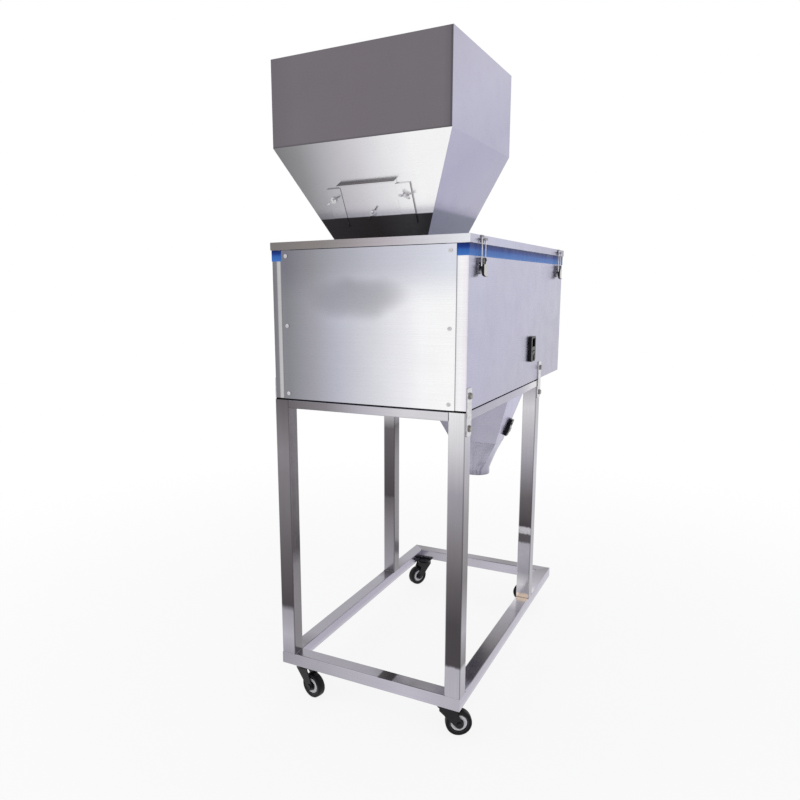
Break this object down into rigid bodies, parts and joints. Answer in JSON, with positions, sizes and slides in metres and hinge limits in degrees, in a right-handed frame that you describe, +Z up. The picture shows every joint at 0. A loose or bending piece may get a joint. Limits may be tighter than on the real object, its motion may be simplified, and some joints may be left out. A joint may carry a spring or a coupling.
{
  "type": "dosing packing machine",
  "caption": "Stainless dosing machine: top hopper, slide gate, vibrating tray and weigh bucket in a cabinet, discharge chute, tube stand on casters.",
  "frame": {"origin": "on the floor under the middle of the whole object", "axes": "+Z up, -Y towards the operator at the chute, -X the side with the power inlet"},
  "size_m": [0.512, 0.892, 1.529],
  "materials": {
    "stand_steel": "satin stainless square tube",
    "sheet_steel": "satin stainless sheet",
    "hopper_steel": "satin stainless sheet",
    "fastener_steel": "plain stainless",
    "latch_steel": "polished",
    "black_rubber": "matt",
    "caster_steel": "black zinc",
    "hub_plastic": "moulded black",
    "blue_seal": "blue",
    "black_plastic": "fine grained",
    "rocker_plastic": "glossy black",
    "cast_base": "hammered grey-blue paint",
    "spring_leaf": "spring plate",
    "cell_aluminium": "satin",
    "box_plastic": "pale grey",
    "panel_plastic": "dark grey",
    "display_lens": "dark clear window",
    "key_pale": "pale grey",
    "key_green": "green"
  },
  "bodies": {
    "stand_and_cabinet": {"leg_rear_left": "stand_steel", "leg_rear_right": "stand_steel", "leg_front_left": "stand_steel", "leg_front_right": "stand_steel", "base_side_rails": "stand_steel", "base_cross_rails": "stand_steel", "top_side_rails": "stand_steel", "top_cross_rails": "stand_steel", "joining_plates": "fastener_steel", "joining_bolts": "fastener_steel", "seat_strips": "black_rubber", "caster_plates": "caster_steel", "side_panel_left": "sheet_steel", "side_panel_right": "sheet_steel", "rear_panel": "sheet_steel", "front_panel": "sheet_steel", "cabinet_floor": "sheet_steel", "panel_screws": "fastener_steel", "seal_band": "blue_seal", "lid": "sheet_steel", "latch_bases": "latch_steel", "latch_keepers": "latch_steel", "power_inlet": "black_plastic", "chute": "sheet_steel", "spout": "sheet_steel", "bag_switch": "black_plastic", "hopper": "hopper_steel", "gate_screws": "fastener_steel", "feeder_base": "cast_base", "leaf_springs": "spring_leaf", "weigh_bucket": "sheet_steel", "load_cell": "cell_aluminium", "control_box": "box_plastic", "control_panel": "panel_plastic", "display_window": "display_lens"},
    "fork_rear_left": {"fork_rear_left": "caster_steel"},
    "wheel_rear_left": {"wheel_rear_left": "hub_plastic"},
    "lever_rear_left": {"lever_rear_left": "latch_steel"},
    "bail_rear_left": {"bail_rear_left": "latch_steel"},
    "fork_rear_right": {"fork_rear_right": "caster_steel"},
    "wheel_rear_right": {"wheel_rear_right": "hub_plastic"},
    "lever_rear_right": {"lever_rear_right": "latch_steel"},
    "bail_rear_right": {"bail_rear_right": "latch_steel"},
    "fork_front_left": {"fork_front_left": "caster_steel"},
    "wheel_front_left": {"wheel_front_left": "hub_plastic"},
    "lever_front_left": {"lever_front_left": "latch_steel"},
    "bail_front_left": {"bail_front_left": "latch_steel"},
    "fork_front_right": {"fork_front_right": "caster_steel"},
    "wheel_front_right": {"wheel_front_right": "hub_plastic"},
    "lever_front_right": {"lever_front_right": "latch_steel"},
    "bail_front_right": {"bail_front_right": "latch_steel"},
    "power_rocker": {"power_rocker": "rocker_plastic"},
    "bag_paddle": {"bag_paddle": "latch_steel"},
    "gate_plate": {"gate_plate": "sheet_steel"},
    "flap_front": {"flap_front": "sheet_steel"},
    "flap_rear": {"flap_rear": "sheet_steel"},
    "feeder_tray": {"feeder_tray": "sheet_steel"},
    "key_minus": {"key_minus": "key_pale"},
    "key_set": {"key_set": "key_green"},
    "key_plus": {"key_plus": "key_pale"}
  },
  "joints": [
    {"name": "caster_swivel_rear_left", "type": "hinge", "parent": "stand_and_cabinet", "child": "fork_rear_left", "pos_m": [-0.194, 0.388, 0.08], "axis": [0, 0, 1], "continuous": true},
    {"name": "wheel_spin_rear_left", "type": "hinge", "parent": "fork_rear_left", "child": "wheel_rear_left", "pos_m": [-0.21998, 0.373, 0.0315], "axis": [-0.5, 0.866, 0], "continuous": true},
    {"name": "latch_lever_rear_left", "type": "hinge", "parent": "stand_and_cabinet", "child": "lever_rear_left", "pos_m": [-0.24725, 0.349, 1.094], "axis": [0, 1, 0], "range_deg": [0, 65]},
    {"name": "latch_bail_rear_left", "type": "hinge", "parent": "lever_rear_left", "child": "bail_rear_left", "pos_m": [-0.24725, 0.349, 1.082], "axis": [0, 1, 0], "range_deg": [-54, 0]},
    {"name": "caster_swivel_rear_right", "type": "hinge", "parent": "stand_and_cabinet", "child": "fork_rear_right", "pos_m": [0.194, 0.388, 0.08], "axis": [0, 0, 1], "continuous": true},
    {"name": "wheel_spin_rear_right", "type": "hinge", "parent": "fork_rear_right", "child": "wheel_rear_right", "pos_m": [0.16502, 0.39576, 0.0315], "axis": [0.2588, 0.9659, 0], "continuous": true},
    {"name": "latch_lever_rear_right", "type": "hinge", "parent": "stand_and_cabinet", "child": "lever_rear_right", "pos_m": [0.24725, 0.349, 1.094], "axis": [0, -1, 0], "range_deg": [0, 65]},
    {"name": "latch_bail_rear_right", "type": "hinge", "parent": "lever_rear_right", "child": "bail_rear_right", "pos_m": [0.24725, 0.349, 1.082], "axis": [0, -1, 0], "range_deg": [-54, 0]},
    {"name": "caster_swivel_front_left", "type": "hinge", "parent": "stand_and_cabinet", "child": "fork_front_left", "pos_m": [-0.194, -0.41, 0.08], "axis": [0, 0, 1], "continuous": true},
    {"name": "wheel_spin_front_left", "type": "hinge", "parent": "fork_front_left", "child": "wheel_front_left", "pos_m": [-0.164, -0.41, 0.0315], "axis": [0, -1, 0], "continuous": true},
    {"name": "latch_lever_front_left", "type": "hinge", "parent": "stand_and_cabinet", "child": "lever_front_left", "pos_m": [-0.24725, -0.366, 1.094], "axis": [0, 1, 0], "range_deg": [0, 65]},
    {"name": "latch_bail_front_left", "type": "hinge", "parent": "lever_front_left", "child": "bail_front_left", "pos_m": [-0.24725, -0.366, 1.082], "axis": [0, 1, 0], "range_deg": [-54, 0]},
    {"name": "caster_swivel_front_right", "type": "hinge", "parent": "stand_and_cabinet", "child": "fork_front_right", "pos_m": [0.194, -0.41, 0.08], "axis": [0, 0, 1], "continuous": true},
    {"name": "wheel_spin_front_right", "type": "hinge", "parent": "fork_front_right", "child": "wheel_front_right", "pos_m": [0.20808, -0.38351, 0.0315], "axis": [0.8829, -0.4695, 0], "continuous": true},
    {"name": "latch_lever_front_right", "type": "hinge", "parent": "stand_and_cabinet", "child": "lever_front_right", "pos_m": [0.24725, -0.366, 1.094], "axis": [0, -1, 0], "range_deg": [0, 65]},
    {"name": "latch_bail_front_right", "type": "hinge", "parent": "lever_front_right", "child": "bail_front_right", "pos_m": [0.24725, -0.366, 1.082], "axis": [0, -1, 0], "range_deg": [-54, 0]},
    {"name": "rocker_tilt", "type": "hinge", "parent": "stand_and_cabinet", "child": "power_rocker", "pos_m": [-0.244, -0.096, 0.856], "axis": [0, 1, 0], "range_deg": [0, 16]},
    {"name": "paddle_press", "type": "hinge", "parent": "stand_and_cabinet", "child": "bag_paddle", "pos_m": [-0.10235, -0.413, 0.60179], "axis": [0, -1, 0], "range_deg": [0, 6], "stiffness_Nm_per_rad": 0.3, "springref_deg": -11.46},
    {"name": "gate_slide", "type": "slide", "parent": "stand_and_cabinet", "child": "gate_plate", "axis": [0, 0.4819, 0.8762], "range_m": [0, 0.06]},
    {"name": "bucket_flap_front", "type": "hinge", "parent": "stand_and_cabinet", "child": "flap_front", "pos_m": [0, -0.397, 0.871], "axis": [-1, 0, 0], "range_deg": [0, 75], "stiffness_Nm_per_rad": 0.3, "springref_deg": -45.84},
    {"name": "bucket_flap_rear", "type": "hinge", "parent": "stand_and_cabinet", "child": "flap_rear", "pos_m": [0, -0.237, 0.871], "axis": [1, 0, 0], "range_deg": [0, 75], "stiffness_Nm_per_rad": 0.3, "springref_deg": -45.84},
    {"name": "tray_shake", "type": "slide", "parent": "stand_and_cabinet", "child": "feeder_tray", "axis": [0, 1, 0], "range_m": [-0.0005, 0.0005], "stiffness_N_per_m": 40000},
    {"name": "press_minus", "type": "slide", "parent": "stand_and_cabinet", "child": "key_minus", "axis": [0, 1, 0], "range_m": [0, 0.0015], "stiffness_N_per_m": 200},
    {"name": "press_set", "type": "slide", "parent": "stand_and_cabinet", "child": "key_set", "axis": [0, 1, 0], "range_m": [0, 0.0015], "stiffness_N_per_m": 200},
    {"name": "press_plus", "type": "slide", "parent": "stand_and_cabinet", "child": "key_plus", "axis": [0, 1, 0], "range_m": [0, 0.0015], "stiffness_N_per_m": 200}
  ],
  "couplings": [
    {"joint": "latch_bail_rear_left", "follows": "latch_lever_rear_left", "ratio": -0.82},
    {"joint": "latch_bail_rear_right", "follows": "latch_lever_rear_right", "ratio": -0.82},
    {"joint": "latch_bail_front_left", "follows": "latch_lever_front_left", "ratio": -0.82},
    {"joint": "latch_bail_front_right", "follows": "latch_lever_front_right", "ratio": -0.82},
    {"joint": "bucket_flap_rear", "follows": "bucket_flap_front", "ratio": 1}
  ]
}
